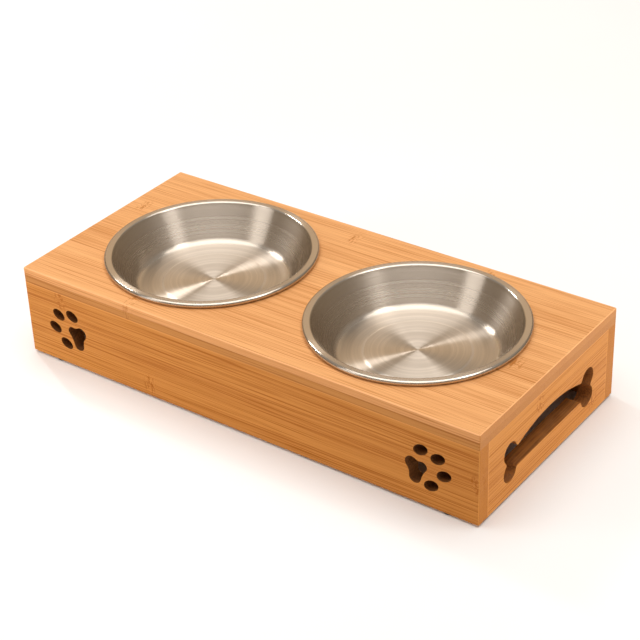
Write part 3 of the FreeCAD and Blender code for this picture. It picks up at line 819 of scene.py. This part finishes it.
def pale_floor(name):
    """A pale seamless floor with the faintest mottle."""
    stage = bpy.context.scene.feeder_stage
    shader = Shader(name)
    mottle = shader.noise(shader.vector_math("MULTIPLY", shader.place(), MOTTLE_WAVES), MOTTLE_DETAIL)
    shade = shader.fade(mottle, *MOTTLE_SHADE)
    return shader.finish(
        {
            "Base Color": shader.shaded(opaque(stage.floor_colour), shade),
            "Roughness": FLOOR_ROUGHNESS,
            "Specular IOR Level": FLOOR_GLOSS,
        }
    )


# Merging a copied solid: reach of doubles, and the angle under which neighbours are one flat face
MERGE_REACH = 0.002 * MM
FLAT_ANGLE = math.radians(0.4)

# Edges sharper than the first are eased, and those blunter than the second are shaded smooth
SHARP_ANGLE = math.radians(50)
SMOOTH_ANGLE = math.radians(38)
EASE_SEGMENTS = 2

# Walls of a cut-out: least distance from a board's outline, least span of its thickness, and most slant
CUT_MARGIN = 1.6 * MM
CUT_SPAN_SHARE = 0.7
CUT_SLANT_SHARE = 0.1

# The material slot of singed walls, after the bamboo's own
SINGED_SLOT = 1


def choose(piece):
    """Makes a piece the only one selected, and active."""
    bpy.ops.object.select_all(action="DESELECT")
    piece.select_set(True)
    bpy.context.view_layer.objects.active = piece


def edit(piece):
    """Opens a piece in edit mode with nothing in it selected."""
    choose(piece)
    bpy.ops.object.mode_set(mode="EDIT")
    bpy.ops.mesh.select_all(action="DESELECT")


def apply_modifier(piece, kind, name, **settings):
    """Adds a modifier and applies it."""
    choose(piece)
    modifier = piece.modifiers.new(name, kind)
    for setting, value in settings.items():
        setattr(modifier, setting, value)
    bpy.ops.object.modifier_apply(modifier=modifier.name)


def smooth(piece):
    """Shades a piece smooth over its rounds, with flat faces kept flat."""
    choose(piece)
    bpy.ops.object.shade_smooth_by_angle(angle=SMOOTH_ANGLE)
    apply_modifier(piece, "WEIGHTED_NORMAL", "flat faces", keep_sharp=True)


def settle(piece, body, node):
    """Hides the solid that a finished piece stands for, and ties the piece to its body."""
    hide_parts(node)
    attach(piece, body)


def copy_solid(node, name):
    """A copy of a solid's mesh, its loose triangles merged into flat faces."""
    piece = bpy.data.objects.new(name, frame["nodes"][node].data.copy())
    bpy.context.scene.collection.objects.link(piece)
    choose(piece)
    bpy.ops.mesh.customdata_custom_splitnormals_clear()
    edit(piece)
    bpy.ops.mesh.select_all(action="SELECT")
    bpy.ops.mesh.remove_doubles(threshold=MERGE_REACH)
    bpy.ops.mesh.dissolve_limited(angle_limit=FLAT_ANGLE)
    bpy.ops.object.mode_set(mode="OBJECT")
    return piece


def select_cut_walls(piece, node, grain):
    """Selects the walls of what is cut through a board, away from its outline."""
    low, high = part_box(node)
    sides = (grain.along, grain.across)
    shape = bmesh.from_edit_mesh(piece.data)
    for face in shape.faces:
        depths = [corner.co[grain.through] for corner in face.verts]
        spans = max(depths) - min(depths) > CUT_SPAN_SHARE * (high - low)[grain.through]
        upright = abs(face.normal[grain.through]) < CUT_SLANT_SHARE
        middle = face.calc_center_median()
        inside = all(low[side] + CUT_MARGIN < middle[side] < high[side] - CUT_MARGIN for side in sides)
        face.select_set(spans and upright and inside)
    bmesh.update_edit_mesh(piece.data)


def make_board(node, light, char=0):
    """A bamboo board: a merged copy of its solid with singed cut-outs and eased edges."""
    boards = bpy.context.scene.feeder_boards
    grain = BOARDS[node].grain
    piece = copy_solid(node, f"{node}_bamboo")
    piece.data.materials.clear()
    piece.data.materials.append(bamboo(f"bamboo {node}", node, light))
    if char:
        piece.data.materials.append(singed(f"singed {node}", grain, char))
        edit(piece)
        select_cut_walls(piece, node, grain)
        piece.active_material_index = SINGED_SLOT
        bpy.ops.object.material_slot_assign()
        bpy.ops.object.mode_set(mode="OBJECT")
    apply_modifier(
        piece,
        "BEVEL",
        "eased edges",
        width=boards.edge_ease,
        segments=EASE_SEGMENTS,
        limit_method="ANGLE",
        angle_limit=SHARP_ANGLE,
        material=0,
    )
    smooth(piece)
    settle(piece, "stand", node)


class FEEDER_OT_top_board(bpy.types.Operator):
    """Eases and finishes the top board"""

    bl_idname = "feeder.top_board"
    bl_label = "Top Board"

    def execute(self, context):
        make_board("top_board", context.scene.feeder_boards.top_colour)
        return {"FINISHED"}


class FEEDER_OT_long_boards(bpy.types.Operator):
    """Eases and finishes the front and back boards, and singes the paws"""

    bl_idname = "feeder.long_boards"
    bl_label = "Long Boards"

    def execute(self, context):
        colour = context.scene.feeder_boards.wall_colour
        make_board("front_board", colour, PAW_CHAR)
        make_board("back_board", colour)
        return {"FINISHED"}


class FEEDER_OT_end_boards(bpy.types.Operator):
    """Eases and finishes the end boards, and singes their handles"""

    bl_idname = "feeder.end_boards"
    bl_label = "End Boards"

    def execute(self, context):
        colour = context.scene.feeder_boards.wall_colour
        make_board("left_end_board", colour, HANDLE_CHAR)
        make_board("right_end_board", colour, HANDLE_CHAR)
        return {"FINISHED"}


# Steps of the bowl's section and of its turn, and the axis that its section's rounds turn about
DISC_STEPS = 4
CORNER_STEPS = 12
BEND_STEPS = 8
CURL_STEPS = 24
FLAT_STEPS = 5
TURN_STEPS = 160
ACROSS = Vector((0, -1, 0))


def draw_to(middle, across, up):
    """Extrudes the section's last point to a place beside the bowl's axis."""
    shape = bmesh.from_edit_mesh(bpy.context.object.data)
    last = next(point.co for point in shape.verts if point.select)
    move = middle + Vector((across, 0, up)) - last
    bpy.ops.mesh.extrude_region_move(TRANSFORM_OT_translate={"value": move})


def draw_round(middle, across, up, angle, steps):
    """Spins the section's last point about a place beside the bowl's axis."""
    centre = middle + Vector((across, 0, up))
    bpy.ops.mesh.spin(steps=steps, angle=angle, center=centre, axis=ACROSS)


def draw_section(middle, rim_radius, rim_top):
    """Draws the upper side of the sheet from the axis to the end of the rolled edge."""
    bowls = bpy.context.scene.feeder_bowls
    lean = bowls.lean
    turn = math.pi / 2 - lean
    mouth = bowls.mouth_diameter / 2
    floor = rim_top - bowls.depth
    corner = bowls.corner_radius
    floor_edge = floor_radius(bowls)
    step_radius = floor_edge - bowls.step_margin
    step_inner = step_radius - bowls.step_run
    step_turn = 2 * math.atan2(bowls.step_height, bowls.step_run)
    step_round = bowls.step_run / 2 / math.sin(step_turn)
    curl = bowls.rim_height / 2
    bend_across = mouth + bowls.rim_bend * math.cos(lean)
    wall_head = rim_top - bowls.rim_bend * (1 - math.sin(lean))

    draw_to(middle, step_inner, floor + bowls.step_height)
    draw_round(middle, step_inner, floor + bowls.step_height - step_round, step_turn, DISC_STEPS)
    draw_round(middle, step_radius, floor + step_round, -step_turn, DISC_STEPS)
    for step in range(1, FLAT_STEPS + 1):
        draw_to(middle, step_radius + (floor_edge - step_radius) * step / FLAT_STEPS, floor)
    draw_round(middle, floor_edge, floor + corner, -turn, CORNER_STEPS)
    draw_to(middle, mouth, wall_head)
    draw_round(middle, bend_across, rim_top - bowls.rim_bend, turn, BEND_STEPS)
    draw_to(middle, rim_radius - curl, rim_top)
    draw_round(middle, rim_radius - curl, rim_top - curl, bowls.rim_curl, CURL_STEPS)


def bowl_middle(node):
    """The foot of a bowl's axis on the floor."""
    low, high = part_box(node)
    return Vector(((low.x + high.x) / 2, (low.y + high.y) / 2, 0))


def turn_bowl(node, name):
    """A bowl turned from its section about its own axis, then given its sheet's thickness."""
    bowls = bpy.context.scene.feeder_bowls
    low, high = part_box(node)
    rim_radius = (high.x - low.x) / 2
    middle = bowl_middle(node)
    bpy.ops.object.select_all(action="DESELECT")
    bpy.ops.mesh.primitive_plane_add(size=MM, location=(0, 0, 0))
    piece = bpy.context.object
    piece.name = name
    piece.data.name = name
    edit(piece)
    bpy.ops.mesh.select_all(action="SELECT")
    bpy.ops.mesh.merge(type="CENTER")
    bpy.ops.transform.translate(value=middle + UP * (high.z - bowls.depth + bowls.step_height))
    draw_section(middle, rim_radius, high.z)
    bpy.ops.mesh.select_all(action="SELECT")
    bpy.ops.mesh.spin(steps=TURN_STEPS, angle=2 * math.pi, center=middle, axis=UP)
    bpy.ops.mesh.select_all(action="SELECT")
    bpy.ops.mesh.remove_doubles(threshold=MERGE_REACH)
    bpy.ops.mesh.normals_make_consistent(inside=False)
    shape = bmesh.from_edit_mesh(piece.data)
    lowest = min(shape.faces, key=lambda face: face.calc_center_median().z)
    if lowest.normal.z < 0:
        bpy.ops.mesh.flip_normals()
    bpy.ops.object.mode_set(mode="OBJECT")
    thickness = bowls.sheet_thickness
    apply_modifier(piece, "SOLIDIFY", "sheet", thickness=thickness, offset=-1, use_even_offset=True)
    choose(piece)
    bpy.ops.object.shade_smooth_by_angle(angle=SMOOTH_ANGLE)
    return piece


class FEEDER_OT_bowls(bpy.types.Operator):
    """Turns a steel bowl, copies it into the other hole and finishes both"""

    bl_idname = "feeder.bowls"
    bl_label = "Bowls"

    def execute(self, context):
        left = turn_bowl("left_bowl", "left_bowl_steel")
        left_middle = bowl_middle("left_bowl")
        right_middle = bowl_middle("right_bowl")
        right = bpy.data.objects.new("right_bowl_steel", left.data.copy())
        right.data.transform(Matrix.Translation(right_middle - left_middle))
        context.scene.collection.objects.link(right)
        for piece, middle, side in ((left, left_middle, "left"), (right, right_middle, "right")):
            piece.data.materials.append(brushed_steel(f"brushed steel {side}", middle))
            settle(piece, f"{side}_dish", f"{side}_bowl")
        return {"FINISHED"}


def refinish(slot, material):
    """Gives every solid of one of the record's finishes a new material."""
    for part in frame["record"]["subparts"]:
        if part["material_slot"] == slot:
            frame["nodes"][part["node"]].material_slots[0].material = material


class FEEDER_OT_dowels(bpy.types.Operator):
    """Finishes the dowels"""

    bl_idname = "feeder.dowels"
    bl_label = "Dowels"

    def execute(self, context):
        refinish("dowel_wood", turned_wood("turned hardwood"))
        return {"FINISHED"}


class FEEDER_OT_feet(bpy.types.Operator):
    """Finishes the feet"""

    bl_idname = "feeder.feet"
    bl_label = "Feet"

    def execute(self, context):
        refinish("foot_rubber", rubber("foot rubber"))
        return {"FINISHED"}


# Lamps: place, and width and height, in metres, watts, colour, and whether steel and lacquer mirror them
Lamp = collections.namedtuple("Lamp", "place size watts colour mirrored")
DAYLIGHT = (1.0, 0.99, 0.98)
AMBER = (1.0, 0.71, 0.42)
LAMPS = {
    "front left softbox": Lamp((-0.85, -1.3, 0.95), (0.6, 0.9), 2.2, DAYLIGHT, True),
    "left fill": Lamp((-0.55, -0.5, 0.2), (0.3, 0.25), 0.36, DAYLIGHT, False),
    "right fill": Lamp((0.77, 0.29, 0.08), (0.5, 0.12), 0.44, DAYLIGHT, False),
    "right softbox": Lamp((0.67, 0.17, 1.2), (0.35, 0.3), 1.5, DAYLIGHT, True),
    "left strip": Lamp((-1.26, 0.4, 1.19), (0.03, 0.3), 4.5, DAYLIGHT, True),
    "back left card": Lamp((-1.25, 1.55, 1.15), (2.2, 1.0), 3, AMBER, True),
}
LAMP_AIM = Vector((0, 0, 0.05))

# The grid on lamps that nothing mirrors, which keeps the floor beside them even
FILL_SPREAD = math.radians(70)

# The broad light from above: watts to a square metre, width as an angle, colour and place
OVERHEAD_STRENGTH = 1.9
OVERHEAD_WIDTH = math.radians(66)
OVERHEAD_COLOUR = (1.0, 0.98, 0.96)
OVERHEAD_HEIGHT = 2

# The room: colours at the horizon and overhead, their strength, and the height where they start to change
HORIZON_COLOUR = (0.62, 0.48, 0.335, 1)
ZENITH_COLOUR = (1, 0.97, 0.93, 1)
SKY_STRENGTH = 0.43
SKY_START_SHARE = 0.25

# The camera's sensor in millimetres
SENSOR_WIDTH = 36


def light_studio():
    """Soft boxes round the object, and a broad light from above."""
    for name, lamp in LAMPS.items():
        facing = (LAMP_AIM - Vector(lamp.place)).to_track_quat("-Z", "Y").to_euler()
        bpy.ops.object.light_add(type="AREA", location=lamp.place, rotation=facing)
        made = bpy.context.object
        made.name = name
        made.data.shape = "RECTANGLE"
        made.data.size, made.data.size_y = lamp.size
        made.data.energy = lamp.watts
        made.data.color = lamp.colour
        made.visible_camera = False
        made.visible_glossy = lamp.mirrored
        if not lamp.mirrored:
            made.data.spread = FILL_SPREAD
    bpy.ops.object.light_add(type="SUN", location=UP * OVERHEAD_HEIGHT)
    overhead = bpy.context.object
    overhead.name = "overhead light"
    overhead.data.energy = OVERHEAD_STRENGTH
    overhead.data.angle = OVERHEAD_WIDTH
    overhead.data.color = OVERHEAD_COLOUR


def paint_room():
    """A pale room that is warmer towards the horizon."""
    world = bpy.data.worlds.new("pale room")
    bpy.context.scene.world = world
    world.use_nodes = True
    tree = world.node_tree
    tree.nodes.clear()
    direction = tree.nodes.new("ShaderNodeTexCoord")
    parts = tree.nodes.new("ShaderNodeSeparateXYZ")
    height = tree.nodes.new("ShaderNodeMapRange")
    height.interpolation_type = "SMOOTHSTEP"
    height.inputs["From Min"].default_value = SKY_START_SHARE
    mix = tree.nodes.new("ShaderNodeMix")
    mix.data_type = "RGBA"
    mix.inputs[MIX_FIRST].default_value = HORIZON_COLOUR
    mix.inputs[MIX_SECOND].default_value = ZENITH_COLOUR
    background = tree.nodes.new("ShaderNodeBackground")
    background.inputs["Strength"].default_value = SKY_STRENGTH
    output = tree.nodes.new("ShaderNodeOutputWorld")
    tree.links.new(direction.outputs["Generated"], parts.inputs["Vector"])
    tree.links.new(parts.outputs["Z"], height.inputs["Value"])
    tree.links.new(height.outputs["Result"], mix.inputs["Factor"])
    tree.links.new(mix.outputs[MIX_RESULT], background.inputs["Color"])
    tree.links.new(background.outputs["Background"], output.inputs["Surface"])


def lay_floor():
    """A pale floor under the feet."""
    stage = bpy.context.scene.feeder_stage
    bpy.ops.object.select_all(action="DESELECT")
    bpy.ops.mesh.primitive_plane_add(size=stage.floor_size, location=(0, 0, 0))
    floor = bpy.context.object
    floor.name = "floor"
    floor.data.materials.append(pale_floor("pale floor"))


def set_camera():
    """A camera that looks at the object from its front right, from above."""
    stage = bpy.context.scene.feeder_stage
    level = math.cos(stage.elevation)
    to_right = math.sin(stage.azimuth) * level
    to_front = math.cos(stage.azimuth) * level
    back = Vector((to_right, -to_front, math.sin(stage.elevation)))
    place = Vector(stage.aim) + back * stage.distance
    facing = (-back).to_track_quat("-Z", "Y").to_matrix() @ Matrix.Rotation(-stage.roll, 3, "Z")
    bpy.ops.object.camera_add(location=place, rotation=facing.to_euler())
    camera = bpy.context.object
    camera.name = "camera"
    camera.data.sensor_width = SENSOR_WIDTH
    camera.data.lens = stage.lens
    bpy.context.scene.camera = camera


class FEEDER_OT_stage(bpy.types.Operator):
    """Lays the floor, lights the studio and sets the camera"""

    bl_idname = "feeder.stage"
    bl_label = "Stage"

    def execute(self, context):
        lay_floor()
        light_studio()
        paint_room()
        set_camera()
        context.scene.view_settings.view_transform = "Standard"
        return {"FINISHED"}


class FEEDER_PT_panel(bpy.types.Panel):
    """The feeder's pieces and settings"""

    bl_idname = "FEEDER_PT_panel"
    bl_label = "Raised Feeder"
    bl_space_type = "VIEW_3D"
    bl_region_type = "UI"
    bl_category = "Feeder"

    def draw(self, context):
        layout = self.layout
        for operator in OPERATORS:
            layout.operator(operator.bl_idname)
        for setting in SETTINGS:
            group = getattr(context.scene, setting)
            box = layout.box()
            for name in group.__annotations__:
                box.prop(group, name)


SETTINGS = {
    "feeder_boards": FeederBoards,
    "feeder_bowls": FeederBowls,
    "feeder_fittings": FeederFittings,
    "feeder_stage": FeederStage,
}
OPERATORS = (
    FEEDER_OT_top_board,
    FEEDER_OT_long_boards,
    FEEDER_OT_end_boards,
    FEEDER_OT_bowls,
    FEEDER_OT_dowels,
    FEEDER_OT_feet,
    FEEDER_OT_stage,
)
CLASSES = (*SETTINGS.values(), *OPERATORS, FEEDER_PT_panel)


def register():
    for kind in CLASSES:
        bpy.utils.register_class(kind)
    for setting, group in SETTINGS.items():
        setattr(bpy.types.Scene, setting, bpy.props.PointerProperty(type=group))


def unregister():
    for setting in SETTINGS:
        delattr(bpy.types.Scene, setting)
    for kind in reversed(CLASSES):
        bpy.utils.unregister_class(kind)


def main():
    """Makes every piece and the stage."""
    register()
    bpy.ops.feeder.top_board()
    bpy.ops.feeder.long_boards()
    bpy.ops.feeder.end_boards()
    bpy.ops.feeder.bowls()
    bpy.ops.feeder.dowels()
    bpy.ops.feeder.feet()
    bpy.ops.feeder.stage()


if __name__ == "__main__":
    main()
